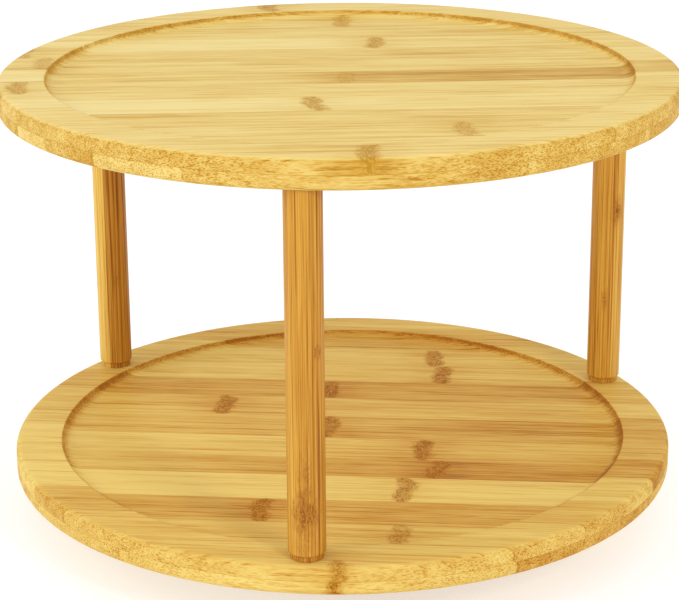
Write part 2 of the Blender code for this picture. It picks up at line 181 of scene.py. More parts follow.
def turnedMesh(name, profile, steps, closed=False, thread=None):
    # profile: (radius, height) in mm, outer side from top to bottom; thread: pitch, depth, top, bottom
    shape = bmesh.new()
    rings = []
    for r, z in profile:
        if r < 1e-6:
            rings.append([shape.verts.new((0, 0, z * mm))])
            continue
        ring = []
        for i in range(steps):
            angle = 2 * math.pi * i / steps
            radius = r
            if thread and thread["bottom"] <= z <= thread["top"]:
                turn = (z / thread["pitch"] - i / steps) % 1.0
                radius = r - thread["depth"] * abs(2 * turn - 1)
            place = (radius * mm * math.cos(angle), radius * mm * math.sin(angle), z * mm)
            ring.append(shape.verts.new(place))
        rings.append(ring)
    pairs = list(zip(rings, rings[1:]))
    if closed:
        pairs.append((rings[-1], rings[0]))
    for upper, lower in pairs:
        for i in range(steps):
            j = (i + 1) % steps
            if len(upper) == 1:
                shape.faces.new((upper[0], lower[i], lower[j]))
            elif len(lower) == 1:
                shape.faces.new((upper[j], upper[i], lower[0]))
            else:
                shape.faces.new((upper[j], upper[i], lower[i], lower[j]))
    bmesh.ops.recalc_face_normals(shape, faces=shape.faces)
    mesh = bpy.data.meshes.new(name)
    shape.to_mesh(mesh)
    shape.free()
    return mesh


def prismMesh(name, outline, low, high, taper=1.0):
    # outline: (x, y) in mm; taper narrows the low end
    shape = bmesh.new()
    top = [shape.verts.new((x * mm, y * mm, high * mm)) for x, y in outline]
    foot = [shape.verts.new((x * taper * mm, y * taper * mm, low * mm)) for x, y in outline]
    shape.faces.new(top)
    shape.faces.new(reversed(foot))
    for i in range(len(outline)):
        j = (i + 1) % len(outline)
        shape.faces.new((top[i], foot[i], foot[j], top[j]))
    bmesh.ops.recalc_face_normals(shape, faces=shape.faces)
    mesh = bpy.data.meshes.new(name)
    shape.to_mesh(mesh)
    shape.free()
    return mesh


def asObject(name, mesh, at=(0, 0, 0), upsideDown=False, turn=0.0):
    piece = bpy.data.objects.new(name, mesh)
    bpy.context.scene.collection.objects.link(piece)
    flip = Matrix.Rotation(math.pi, 4, "X") if upsideDown else Matrix.Identity(4)
    piece.matrix_world = Matrix.Translation(at) @ Matrix.Rotation(math.radians(turn), 4, "Z") @ flip
    return piece


def settle(piece):
    # the evaluated mesh becomes the piece's own
    graph = bpy.context.evaluated_depsgraph_get()
    mesh = bpy.data.meshes.new_from_object(piece.evaluated_get(graph))
    piece.modifiers.clear()
    piece.data = mesh


def carve(piece, mesh, places, operation="DIFFERENCE"):
    # cuts copies of mesh at the places out of the piece
    shape = bmesh.new()
    for place in places:
        copy = mesh.copy()
        copy.transform(Matrix.Translation(place))
        shape.from_mesh(copy)
        bpy.data.meshes.remove(copy)
    cutterMesh = bpy.data.meshes.new("cutter")
    shape.to_mesh(cutterMesh)
    shape.free()
    cutter = asObject("cutter", cutterMesh)
    cutter.matrix_world = piece.matrix_world
    boolean = piece.modifiers.new("carve", "BOOLEAN")
    boolean.operation = operation
    boolean.solver = "EXACT"
    boolean.object = cutter
    settle(piece)
    bpy.data.objects.remove(cutter)
    bpy.data.meshes.remove(cutterMesh)


def place(piece, body, nodes, material, slot, sharp=32):
    # smooth shading with crisp edges, then the piece takes over its nodes
    mesh = piece.data
    mesh.shade_smooth()
    mesh.set_sharp_from_angle(angle=math.radians(sharp))
    mesh.materials.clear()
    mesh.materials.append(material)
    weighted = piece.modifiers.new("weighted", "WEIGHTED_NORMAL")
    weighted.keep_sharp = True
    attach(piece, body)
    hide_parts(*nodes)


# Camera, floor and light

# metres, degrees and millimetres of focal length
view = {
    "aimHeight": 0.0963,
    "distance": 0.835,
    "elevation": 18.05,
    "roll": -0.4,
    "lens": 115.4,
    "shiftX": -0.0025,
    "shiftY": -0.058,
}


def makeCamera():
    data = bpy.data.cameras.new("camera")
    data.lens = view["lens"]
    data.sensor_width = 36
    data.shift_x = view["shiftX"]
    data.shift_y = view["shiftY"]
    camera = bpy.data.objects.new("camera", data)
    bpy.context.scene.collection.objects.link(camera)
    tilt = math.radians(view["elevation"])
    back = view["distance"] * math.cos(tilt)
    camera.location = (0, -back, view["aimHeight"] + view["distance"] * math.sin(tilt))
    roll = Matrix.Rotation(math.radians(view["roll"]), 4, "Z")
    camera.rotation_euler = (Matrix.Rotation(math.pi / 2 - tilt, 4, "X") @ roll).to_euler()
    bpy.context.scene.camera = camera


studio = {
    "skyStrength": 0.88,
    "floorRadius": 6000,  # in mm
    "floorColour": (0.55, 0.55, 0.545),
    "floorPatches": 0.985,  # how much darker the floor's faint patches are
    "floorRoughness": 0.9,
    "floorGlow": 0.55,
    "lampAim": 0.08,  # height that the lamps point at, in metres
    "lamps": [  # place, size, power in watts
        {"name": "softboxRight", "at": (0.72, -1.15, 0.95), "size": 0.34, "power": 5.5},
        {"name": "softboxLeft", "at": (-1.3, -0.6, 0.9), "size": 1.2, "power": 7.0},
    ],
}


def makeStudio():
    world = bpy.data.worlds.new("studio")
    world.use_nodes = True
    sky = world.node_tree.nodes["Background"]
    sky.inputs["Color"].default_value = (1, 1, 1, 1)
    sky.inputs["Strength"].default_value = studio["skyStrength"]
    bpy.context.scene.world = world
    bpy.context.scene.view_settings.view_transform = "Standard"
    for lamp in studio["lamps"]:
        data = bpy.data.lights.new(lamp["name"], "AREA")
        data.shape = "DISK"
        data.size = lamp["size"]
        data.energy = lamp["power"]
        light = bpy.data.objects.new(lamp["name"], data)
        bpy.context.scene.collection.objects.link(light)
        light.location = lamp["at"]
        aim = Vector((0, 0, studio["lampAim"])) - light.location
        light.rotation_euler = aim.to_track_quat("-Z", "Y").to_euler()
    mesh = turnedMesh("floor", [(0, 0), (studio["floorRadius"], 0)], steps=64)
    floor = asObject("floor", mesh)
    finish = Finish("paleFloor", Roughness=studio["floorRoughness"], Emission_Strength=studio["floorGlow"])
    finish.shader.inputs["Emission Color"].default_value = (1, 1, 1, 1)
    spot = finish.add("ShaderNodeTexCoord", None, None, "Object")
    patch = finish.fade(finish.noise(spot, 3.0, scale=6.0), 0.2, 0.8)
    dim = tuple(c * studio["floorPatches"] for c in studio["floorColour"])
    finish.surface(Base_Color=finish.mix(patch, studio["floorColour"], dim))
    mesh.materials.append(finish.material)


makeCamera()
makeStudio()
print("camera, floor and light are in place")


# Laminated bamboo of the trays and the base
# strips: lower edge across the grain in mm, tone from pale 0 to amber 1, how much it darkens to the right,
# the knot's place along the grain and its strength (200 along is beyond the edge: no knot)

upperBoard = {
    "turn": -2.4,  # degrees between the grain and the left-right line
    "pale": (0.82, 0.655, 0.262),
    "honey": (0.755, 0.55, 0.165),
    "amber": (0.60, 0.345, 0.052),
    "deep": (0.44, 0.20, 0.025),
    "knotTan": (0.58, 0.32, 0.045),
    "knotBrown": (0.42, 0.20, 0.010),
    "knotBark": 0.8,
    "lean": 0.0,  # how much the whole board darkens to the right, per mm
    "edgeTone": 0.42,  # how much darker the sawn edges are
    "rimFade": 0.8,  # how little of the strips' tones the rim shows
    "recessShade": 0.2,  # painted shade on the recess wall
    "plyShift": 61.0,  # the lower ply's strips, moved across and along
    "plySlide": 34.0,
    "strips": [
        (-128, 0.60, 0.0, 4, 0.9),
        (-104, 0.40, 0.0, 200, 0.0),
        (-91, 0.44, 0.0, 39, 0.6),
        (-72, 0.50, 0.0, 200, 0.0),
        (-53, 0.16, 0.15, -11, 0.8),
        (-32, 0.38, 0.0, -117, 0.8),
        (-12, 0.72, 0.3, 2, 0.5),
        (6, 0.42, 0.0, -111, 0.5),
        (26, 0.50, 0.0, -121, 0.6),
        (46, 0.12, 0.15, 16, 0.85),
        (66, 0.46, 0.0, 200, 0.0),
        (87, 0.34, 0.0, 5, 0.7),
        (108, 0.38, 0.0, -25, 1.0),
    ],
}

lowerBoard = {
    "turn": 5.0,
    "pale": (0.81, 0.625, 0.19),
    "honey": (0.705, 0.475, 0.115),
    "amber": (0.58, 0.30, 0.046),
    "deep": (0.38, 0.145, 0.014),
    "knotTan": (0.48, 0.20, 0.008),
    "knotBrown": (0.28, 0.09, 0.002),
    "knotBark": 0.85,
    "lean": 0.0004,
    "edgeTone": 0.12,
    "rimFade": 0.35,
    # painted shade on the recess wall
    "recessShade": 0.5,
    "plyShift": 62.0,
    "plySlide": -19.0,
    "strips": [
        (-128, 0.40, 0.0, 9, 0.6),
        (-121, 0.40, 0.0, 200, 0.0),
        (-107, 0.44, 0.0, 28, 0.5),
        (-86, 0.70, 0.0, -23, 0.95),
        (-66, 0.04, 0.1, 27, 0.7),
        (-44, 0.74, 0.25, 39, 1.0),
        (-27, 0.36, 0.2, 33, 0.85),
        (-7, 0.58, 0.2, -6, 0.85),
        (14, 0.44, 0.0, -50, 0.85),
        (34, 0.74, -0.1, -9, 1.0),
        (53, 0.30, 0.0, 37, 0.85),
        (73, 0.28, 0.0, 32, 0.75),
        (92, 0.74, 0.0, 200, 0.0),
        (112, 0.50, 0.0, 200, 0.0),
    ],
}


grain = {
    "halfWidth": 128.0,  # reach of the strips to each side of the centre, in mm
    "specular": 0.06,
    # strength of each kind of mark, from wide clouds to single fibres
    "drift": 0.9,
    "bands": 0.9,
    "streaks": 0.38,
    "lines": 0.34,
    "hair": 0.7,
    "endDots": 0.45,
    "edgeDots": 0.25,
    "glueLine": 0.25,
    "plyLine": 0.4,
    # how many of each mark go to a millimetre across the grain
    "perMm": {"drift": 0.06, "bands": 0.30, "streaks": 0.80, "lines": 1.50, "hair": 2.6, "dots": 2.1},
    "contrast": 0.7,
    "leanReach": 110,  # mm along the grain over which a strip's own lean counts in full
    "rimTone": 0.28,  # the tone that the strips fade to on the rim
    "knotHalo": 0.25,
    "knotTint": 0.85,
    "speckColour": (0.05, 0.025, 0.012),
    "speckStrength": 0.8,
    "roughness": 0.44,
    "relief": 0.25,
    "reliefDepth": 0.00025,
}
noRecess = 200.0  # a radius beyond any board


def boardFinish(name, board, centreHeight, recessRadius=noRecess):
    half = grain["halfWidth"]
    span = 2 * half
    perMm = grain["perMm"]
    finish = Finish(name, Specular_IOR_Level=grain["specular"])
    spot = finish.add("ShaderNodeTexCoord")
    turned = finish.add("ShaderNodeMapping", None, {
        "Vector": spot.out("Object"),
        "Location": (0, 0, -centreHeight),
        "Rotation": (0, 0, math.radians(board["turn"])),
        "Scale": (1000, 1000, 1000),
    })
    along, across, height = finish.split(turned)
    radius = finish.math("SQRT", along * along + across * across)
    facing = finish.split(spot.out("Normal"))
    # the lower ply is glued up from other strips
    below = finish.fade(height, 0.05, -0.05)
    seam = finish.fade(abs(height), 0.16, 0.02)
    across = across + below * board["plyShift"]
    along = along - below * board["plySlide"]
    rampSteps = 255  # a stepped ramp has 256 entries, one for each millimetre
    step = (across + half) / rampSteps
    strips = board["strips"]

    def stripRamp(values):
        # half a step early, so that each edge falls on a whole millimetre
        places = [max(0.0, (edge + half - 0.5) / rampSteps) for edge, *_ in strips]
        ramp = finish.ramp(step, list(zip(places, values)), stepped=True)
        return finish.add("ShaderNodeSeparateColor", None, {0: ramp})

    # each strip's tone, seed and lean; its knot's place and strength; its lower and upper edge
    seeds = [(i * 0.37) % 1 for i in range(len(strips))]
    tones = stripRamp([(tone, seed, 0.5 + lean) for (_, tone, lean, _, _), seed in zip(strips, seeds)])
    knots = stripRamp([((x + rampSteps) / (2 * rampSteps), strength, 0) for *_, x, strength in strips])
    lows = [edge for edge, *_ in strips]
    tops = lows[1:] + [half]
    edges = stripRamp([((low + half) / span, (top + half) / span, 0) for low, top in zip(lows, tops)])
    seed = tones.out("Green") * 400
    knotPlace = knots * (2 * rampSteps)
    knotStrength = knots.out("Green") * (1 + below * 0.4)
    toLow = abs(across + half - edges * span)
    toTop = abs(edges.out("Green") * span - across - half)
    toEdge = finish.math("MINIMUM", toLow, toTop)
    glue = finish.fade(toEdge, 0.4, 0.05)

    # fibres run the whole length; seen end on, the same fibres are dots
    def fibres(alongScale, acrossScale, detail, distortion=0.0):
        vector = finish.join(along * alongScale + seed, across * acrossScale + seed, height * acrossScale)
        return finish.noise(vector, detail, 0.6, distortion)

    drift = fibres(0.016, perMm["drift"], 3)
    bands = fibres(0.007, perMm["bands"], 2)
    streaks = finish.fade(fibres(0.011, perMm["streaks"], 3, 0.3), 0.57, 0.63)
    lines = finish.fade(fibres(0.026, perMm["lines"], 2), 0.57, 0.63)
    hair = fibres(0.10, perMm["hair"], 2)
    bundle = finish.add("ShaderNodeTexVoronoi", {"feature": "F1"}, {
        "Vector": finish.join(along * 0.24, across * perMm["dots"], height * perMm["dots"]),
        "Scale": 1.0,
    })
    dots = finish.fade(bundle, 0.50, 0.22)
    slant = math.radians(board["turn"])
    endOn = abs(facing[0] * math.cos(slant) - facing[1] * math.sin(slant))
    endGrain = finish.fade(endOn, 0.12, 0.5)
    milled = finish.fade(abs(facing[2]), 0.95, 0.6)
    upper = finish.fade(height, -0.5, 0.5)
    rim = finish.fade(radius, recessRadius - 3, recessRadius + 3)
    rim = rim * finish.math("MAXIMUM", upper, milled)
    # where the painted shade on the recess wall goes: the cove's outer part on the upper ply, up to the
    # arris
    recessShadeMask = finish.fade(radius, recessRadius - 3.6, recessRadius - 0.3)
    recessShadeMask = recessShadeMask * finish.fade(radius, recessRadius + 0.8, recessRadius + 0.2) * upper

    lean = (tones.out("Blue") - 0.5) * along / grain["leanReach"]
    tone = tones - (tones - grain["rimTone"]) * rim * (board["rimFade"] + below * 0.2)
    tone = tone + lean + along * board["lean"]
    tone = tone + (drift - 0.5) * grain["drift"] + (bands - 0.5) * grain["bands"]
    tone = tone + (streaks * grain["streaks"] + lines * grain["lines"]) * (1 - endGrain * 0.5)
    tone = tone + (hair - 0.5) * grain["hair"] + endGrain * dots * grain["endDots"]
    tone = tone + milled * (board["edgeTone"] + dots * grain["edgeDots"]) + glue * grain["glueLine"]
    # the ply seam shows on the edges; painted shade darkens the recess wall, heavier where the end grain
    # shows
    tone = tone + seam * grain["plyLine"] * milled + recessShadeMask * board["recessShade"] * (0.4 + endGrain * 0.6)
    halo = finish.fade(abs(along + rampSteps - knotPlace), 20, 3) * knotStrength
    colour = finish.ramp((tone + halo * grain["knotHalo"]) * grain["contrast"], [
        (0.0, board["pale"]), (0.35, board["honey"]), (0.7, board["amber"]), (1.0, board["deep"]),
    ])

    # knots: a tan band across the strip with short curly strokes
    wander = finish.noise(finish.join(seed, across * 0.11, height * 0.11), 1)
    fromKnot = along + rampSteps - knotPlace + (wander - 0.5) * 6
    ragged = finish.noise(finish.join(along * 0.5, across * 0.4, height * 0.5), 3)
    near = abs(fromKnot) + (ragged - 0.5) * 4.5 + finish.fade(toEdge, 3.0, 0.0) * 1.8
    smudge = finish.fade(near, 5.4, 1.4) * knotStrength
    curls = finish.noise(finish.join(along * 0.75, across * 0.45, height * 0.5), 2, 0.5, 1.7)
    strokes = finish.fade(curls, 0.45, 0.57) * finish.fade(near, 4.4, 2.2)
    colour = finish.mix(smudge * grain["knotTint"], colour, board["knotTan"])
    colour = finish.mix(strokes * knotStrength * board["knotBark"], colour, board["knotBrown"])

    # a few black specks
    speck = finish.add("ShaderNodeTexVoronoi", {"feature": "F1"}, {
        "Vector": finish.join(along * 0.022, across * 0.045, height * 0.045),
        "Scale": 1.0,
    })
    lucky = finish.fade(finish.split(speck.out("Color"))[0], 0.62, 0.66)
    specks = finish.fade(speck, 0.026, 0.012) * lucky * grain["speckStrength"]
    colour = finish.mix(specks, colour, grain["speckColour"])

    relief = hair * 0.5 - streaks * 0.25 - dots * 0.4 * (endGrain + 0.1) - glue * 0.2
    rough = grain["roughness"] + (bands - 0.5) * 0.2 + endGrain * 0.14 + strokes * 0.06
    normal = finish.bump(relief, grain["relief"], grain["reliefDepth"])
    return finish.surface(Base_Color=colour, Roughness=rough, Normal=normal)


# Trays

tray = {
    "rimWidth": 17.8,
    "recessDepth": 2.6,
    "cove": 4.6,
    "arris": 0.6,
    "edgeRound": 2.4,
    "flatRadius": 60,  # ring of points in the middle of each flat face
    "steps": 288,
    "insertHole": {"radius": 3.9, "depth": 8.0},  # blind holes under the upper tray
    "pilot": {"radius": 1.9, "depth": 7.2},  # screw holes under the lower tray
    # from the top: bolt's clearance hole, sunk seat for its head, small ease at the mouth
    "boltHole": {"radius": 2.7, "seatHeight": 3.4, "seatRadius": 5.0, "ease": 0.35},
    "overcut": 2,  # how far a cutter runs past the face
}


def trayProfile(radius, thickness):
    recessRadius = radius - tray["rimWidth"]
    rounding = tray["edgeRound"]
    arris = tray["arris"]
    depth = tray["recessDepth"]
    flatRadius = tray["flatRadius"]
    profile = [(0, thickness - depth), (flatRadius, thickness - depth)]
    profile += arc(recessRadius - tray["cove"], thickness - arris, tray["cove"], depth - arris, -90, 0, 9)
    profile += arc(recessRadius + arris, thickness - arris, arris, arris, 180, 90, 4)[1:]
    profile += arc(radius - rounding, thickness - rounding, rounding, rounding, 90, 0, 8)
    profile += [(radius, thickness / 2)]
    profile += arc(radius - rounding, rounding, rounding, rounding, 0, -90, 8)
    return profile + [(flatRadius, 0), (0, 0)]


def makeTray(name, node, board):
    low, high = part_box(node)
    radius = (high.x - low.x) / 2 / mm
    thickness = (high.z - low.z) / mm
    mesh = turnedMesh(name, trayProfile(radius, thickness), tray["steps"])
    piece = asObject(name, mesh, (0, 0, low.z))
    return piece, boardFinish(name + "Bamboo", board, thickness / 2, radius - tray["rimWidth"])


def holeMesh(radius, low, high, steps=32):
    return turnedMesh("hole", [(0, high), (radius, high), (radius, low), (0, low)], steps)


def boltHoleMesh():
    low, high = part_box("lower_tray")
    bolt = tray["boltHole"]
    over = tray["overcut"]
    top = (high.z - low.z) / mm + over
    seat = bolt["seatRadius"]
    mouth = seat + bolt["ease"]
    profile = [(0, top), (bolt["radius"], top), (bolt["radius"], bolt["seatHeight"])]
    profile += [(seat, bolt["seatHeight"]), (seat, bolt["ease"]), (mouth, 0), (mouth, -over), (0, -over)]
    return turnedMesh("boltHole", profile, steps=40)


postPlaces = flat([middle(node) for node in numbered("post", 3)])
upperScrewPlaces = flat([middle(node) for node in numbered("upper_plate_screw", 4)])
upperTray, upperBamboo = makeTray("upperTray", "upper_tray", upperBoard)
insertHole = tray["insertHole"]
carve(upperTray, holeMesh(insertHole["radius"], -tray["overcut"], insertHole["depth"]), postPlaces)
lowerTray, lowerBamboo = makeTray("lowerTray", "lower_tray", lowerBoard)
pilot = tray["pilot"]
carve(lowerTray, boltHoleMesh(), postPlaces)
pilotHole = holeMesh(pilot["radius"], -tray["overcut"], pilot["depth"], steps=20)
carve(lowerTray, pilotHole, upperScrewPlaces)
place(upperTray, "turntable", ["upper_tray"], upperBamboo, "tray_bamboo")
place(lowerTray, "turntable", ["lower_tray"], lowerBamboo, "tray_bamboo")
print("both trays are turned and cut")


# Posts

post = {
    "diameter": 13.2,
    "footStep": 0.7,
    "footHeight": 2.8,
    "footEase": 0.25,
    "topEase": 0.35,
    "studBore": 2.7,
    "studDepth": 18.6,
    "insertBore": 3.9,
    "insertDepth": 11.1,
    "steps": 72,
    "specular": 0.12,
    "streaks": 0.52,
    "lines": 0.40,
    "hair": 0.7,
    "footTone": 0.16,
    "roughness": 0.38,
    "pale": (0.82, 0.57, 0.13),
    "honey": (0.63, 0.325, 0.045),
    "amber": (0.42, 0.165, 0.017),
    "deep": (0.26, 0.075, 0.007),
    "knotBrown": (0.17, 0.038, 0.004),
    # strips: left edge in mm across the post as seen from the front, and tone. The second post's pale left
    # strip and dark right strip are partly the bamboo's own strips and partly painted light: a painted lit
    # left side and painted shade on the right side.
    "strips": [
        [(-7, 0.38), (-1.5, 0.44), (3.2, 0.32)],
        [(-7, -0.15), (-1.7, 0.66)],
        [(-7, 0.44), (-5.2, 0.46), (1.7, 0.62)],
    ],
    # knots: place across, height over the lower tray's rim, half width, half height, strength
    "knots": [
        [(3.0, 74, 2.0, 6, 1.0), (-1.3, 36, 1.3, 5, 0.5)],
        [(2.0, 40, 1.5, 4, 0.3), (-3.0, 100, 1.2, 3, 0.3)],
        [(-0.2, 18.5, 4.8, 7.5, 1.0), (-0.6, 30, 2.6, 14, 0.45), (-0.4, 8, 3.6, 8, 0.3),
         (4.2, 76, 1.3, 2.8, 0.8)],
    ],
}


def postFinish(number):
    # fibres run up the post; each strip has a seed of its own
    finish = Finish(f"postBamboo{number}", Specular_IOR_Level=post["specular"])
    spot = finish.add("ShaderNodeTexCoord")
    local = finish.add("ShaderNodeMapping", None, {
        "Vector": spot.out("Object"),
        "Scale": (1000, 1000, 1000),
    })
    across, depth, height = finish.split(local)
    seed = number * 37.0
    # the strips' tones; on the second post they also carry painted light on the left and painted shade on
    # the right
    strips = post["strips"][number - 1]
    reach = 7  # half the width that the strips cover
    stops = [((edge + reach) / 2 / reach, (tone, i / 4, 0)) for i, (edge, tone) in enumerate(strips)]
    wobble = finish.noise(finish.join(seed, 0.0, height * 0.02), 1)
    strip = finish.ramp((across + (wobble - 0.5) * 0.6 + reach) / (2 * reach), stops, stepped=True)
    strip = finish.add("ShaderNodeSeparateColor", None, {0: strip})
    shift = strip.out("Green") * 60 + seed

    def fibres(thinness, length, detail):
        vector = finish.join(across * thinness + shift, depth * thinness, height * length + shift)
        return finish.noise(vector, detail, 0.6)

    bands = fibres(0.7, 0.004, 2)
    streaks = finish.fade(fibres(2.0, 0.009, 2), 0.54, 0.62)
    lines = finish.fade(fibres(3.8, 0.016, 2), 0.54, 0.62)
    hair = fibres(7.0, 0.06, 2)
    drift = fibres(0.05, 0.012, 2)
    tone = strip + (bands - 0.5) * 0.9 + (drift - 0.5) * 0.5
    tone = tone + streaks * post["streaks"] + lines * post["lines"] + (hair - 0.5) * post["hair"]
    foot = finish.fade(height, post["footHeight"] + 0.2, post["footHeight"] - 0.6)
    tone = tone + foot * post["footTone"]
    colour = finish.ramp(tone * 0.7 + 0.1, [
        (0.0, post["pale"]), (0.4, post["honey"]), (0.75, post["amber"]), (1.0, post["deep"]),
    ])
    ragged = finish.noise(finish.join(across * 0.9 + seed, depth * 0.9, height * 0.25), 3)
    curls = finish.noise(finish.join(across * 1.6 + seed, depth * 1.6, height * 0.45), 2, 0.5, 1.8)
    strokes = finish.fade(curls, 0.48, 0.60)
    front = finish.fade(depth, 1.0, -1.0)
    for x, z, halfWidth, halfHeight, strength in post["knots"][number - 1]:
        sideways = (across - x) / halfWidth
        upwards = (height - z) / halfHeight
        fromKnot = finish.math("SQRT", sideways * sideways + upwards * upwards) + (ragged - 0.5) * 1.4
        patch = finish.fade(fromKnot, 1.4, 0.3) * front
        colour = finish.mix(patch * 0.85 * strength, colour, post["amber"])
        core = finish.fade(fromKnot, 1.1, 0.3) * strokes * front
        colour = finish.mix(core * 0.85 * strength, colour, post["knotBrown"])
    rough = post["roughness"] + (bands - 0.5) * 0.2
    normal = finish.bump((hair - streaks) * 0.5, 0.2, 0.0002)
    return finish.surface(Base_Color=colour, Roughness=rough, Normal=normal)


def makePost(number):
    node = f"post_{number}"
    # the post meets both trays face to face
    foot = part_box("lower_tray")[1].z
    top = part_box("upper_tray")[0].z
    length = (top - foot) / mm
    radius = post["diameter"] / 2
    ease = post["topEase"]
    footStep = post["footStep"]
    footEase = post["footEase"]
    studEnd = length - post["studDepth"]
    profile = [(0, studEnd), (post["studBore"], studEnd), (post["studBore"], length)]
    profile += arc(radius - ease, length - ease, ease, ease, 90, 0, 3)
    profile += [(radius, length * 0.7), (radius, length * 0.3)]
    profile += arc(radius - footStep, post["footHeight"], footStep, footStep, 0, -90, 5)
    profile += arc(radius - footStep - footEase, footEase, footEase, footEase, 0, -90, 2)
    profile += [(post["insertBore"], 0), (post["insertBore"], post["insertDepth"])]
    profile += [(0, post["insertDepth"])]
    centre = middle(node)
    mesh = turnedMesh(node, profile, post["steps"])
    piece = asObject(f"post{number}", mesh, (centre.x, centre.y, foot))
    place(piece, "turntable", [node], postFinish(number), "post_bamboo")


for number in (1, 2, 3):
    makePost(number)
print("three posts stand between the trays")


# Metal, nylon and rubber

def metalFinish(name, look):
    finish = Finish(name, Metallic=1.0)
    spot = finish.add("ShaderNodeTexCoord").out("Object")
    x, y, z = finish.split(spot)
    cloud = finish.noise(spot, 3, 0.6, scale=look["cloudScale"])
    scratchA = finish.noise(finish.join(x * 90, y * 2400, z * 900), 2)
    scratchB = finish.noise(finish.join(x * 2100, y * 110, z * 900), 2)
    scratches = finish.fade(scratchA, 0.60, 0.70) + finish.fade(scratchB, 0.62, 0.72)
    pits = finish.fade(finish.noise(spot, 2, 0.7, scale=2600), 0.66, 0.74)
    colour = finish.mix(finish.fade(cloud, 0.3, 0.7), look["colour"], look["tint"])
    colour = finish.mix(pits * 0.35, colour, look["dull"])
    rough = look["roughness"] + (cloud - 0.5) * 0.25 + scratches * look["scratch"]
    normal = finish.bump(pits * -0.6 - scratches * 0.3, 0.15, 0.00004)
    return finish.surface(Base_Color=colour, Roughness=rough, Normal=normal)


def mouldedFinish(name, look):
    finish = Finish(name, Specular_IOR_Level=look["gloss"])
    spot = finish.add("ShaderNodeTexCoord").out("Object")
    cloud = finish.noise(spot, 3, 0.6, scale=140)
    grain = finish.noise(spot, 3, 0.6, scale=look["grainScale"])
    dust = finish.fade(finish.noise(spot, 4, 0.7, scale=420), 0.56, 0.72)
    colour = finish.mix(cloud, look["colour"], look["tint"])
    colour = finish.mix(dust * look["dust"], colour, look["dustColour"])
    rough = look["roughness"] + (grain - 0.5) * 0.3
    normal = finish.bump(grain, look["bump"], 0.00008)
    return finish.surface(Base_Color=colour, Roughness=rough, Normal=normal)


zinc = metalFinish("zincPlate", {
    "colour": (0.66, 0.66, 0.65), "tint": (0.62, 0.61, 0.55), "dull": (0.34, 0.33, 0.31),
    "cloudScale": 90.0, "roughness": 0.34, "scratch": 0.10,
})
brightZinc = metalFinish("brightZinc", {
    "colour": (0.72, 0.72, 0.72), "tint": (0.60, 0.60, 0.62), "dull": (0.30, 0.29, 0.28),
    "cloudScale": 260.0, "roughness": 0.27, "scratch": 0.12,
})
ballSteel = metalFinish("ballSteel", {
    "colour": (0.78, 0.78, 0.79), "tint": (0.70, 0.70, 0.70), "dull": (0.45, 0.42, 0.38),
    "cloudScale": 300.0, "roughness": 0.16, "scratch": 0.08,
})
brass = metalFinish("brass", {
    "colour": (0.80, 0.58, 0.25), "tint": (0.70, 0.47, 0.17), "dull": (0.38, 0.24, 0.09),
    "cloudScale": 240.0, "roughness": 0.33, "scratch": 0.12,
})
nylon = mouldedFinish("whiteNylon", {
    "colour": (0.80, 0.79, 0.74), "tint": (0.72, 0.71, 0.65), "dustColour": (0.50, 0.47, 0.40),
    "gloss": 0.45, "grainScale": 1500.0, "dust": 0.25, "roughness": 0.46, "bump": 0.15,
})
rubber = mouldedFinish("blackRubber", {
    "colour": (0.030, 0.030, 0.031), "tint": (0.045, 0.044, 0.043), "dustColour": (0.20, 0.18, 0.15),
    "gloss": 0.35, "grainScale": 2200.0, "dust": 0.30, "roughness": 0.72, "bump": 0.35,
})
print("metal, nylon and rubber are mixed")


def soften(profile, radius, steps=4, closed=False):
    # rounds the corners of a profile
    points = []
    count = len(profile)
    for i, (r, z) in enumerate(profile):
        if not closed and i in (0, count - 1):
            points.append((r, z))
            continue
        corner = Vector((r, z))
        before = Vector(profile[i - 1]) - corner
        after = Vector(profile[(i + 1) % count]) - corner
        start = corner + before.normalized() * min(radius, before.length * 0.45)
        end = corner + after.normalized() * min(radius, after.length * 0.45)
        for k in range(steps + 1):
            t = k / steps
            point = start * (1 - t) ** 2 + corner * 2 * t * (1 - t) + end * t ** 2
            points.append((point.x, point.y))
    return points


# Bearing

bearing = {
    "plateWidth": 100.0,
    "cornerRadius": 9.0,
    "sheet": 1.0,
    "screwInset": 7.0,
    "screwHole": 1.9,
    # pressed shape from the rivet outwards: radius, height of the sheet's outer face
    "pressing": [
        (6.3, 2.6), (33.3, 2.6), (34.45, 1.0), (37.55, 1.0),
        (38.7, 2.6), (40.3, 2.6), (41.4, 1.0), (90, 1.0),
    ],
    "bend": 0.7,
    # hollow rivet with a flange at each end: radius, height over the lower plate
    "rivet": [
        (4.8, 6.46), (9.15, 6.46), (9.5, 5.76), (6.0, 5.76),
        (6.0, 1.3), (9.5, 1.3), (9.15, 0.6), (4.8, 0.6),
    ],
    "rivetBend": 0.35,
    "cageInner": 31.8,
    "cageOuter": 40.2,
    "cageThickness": 0.8,
    "pocket": 2.68,
    "cageEdge": 0.25,
    "pitchRadius": 36.0,
    "ballRadius": 2.38,
    "ballCount": 16,
}


def roundedSquare(width, corner, steps):
    reach = width / 2 - corner
    outline = []
    for quarter, (sx, sy) in enumerate(((1, 1), (-1, 1), (-1, -1), (1, -1))):
        start = 90 * quarter
        outline += arc(sx * reach, sy * reach, corner, corner, start, start + 90, steps)
    return outline


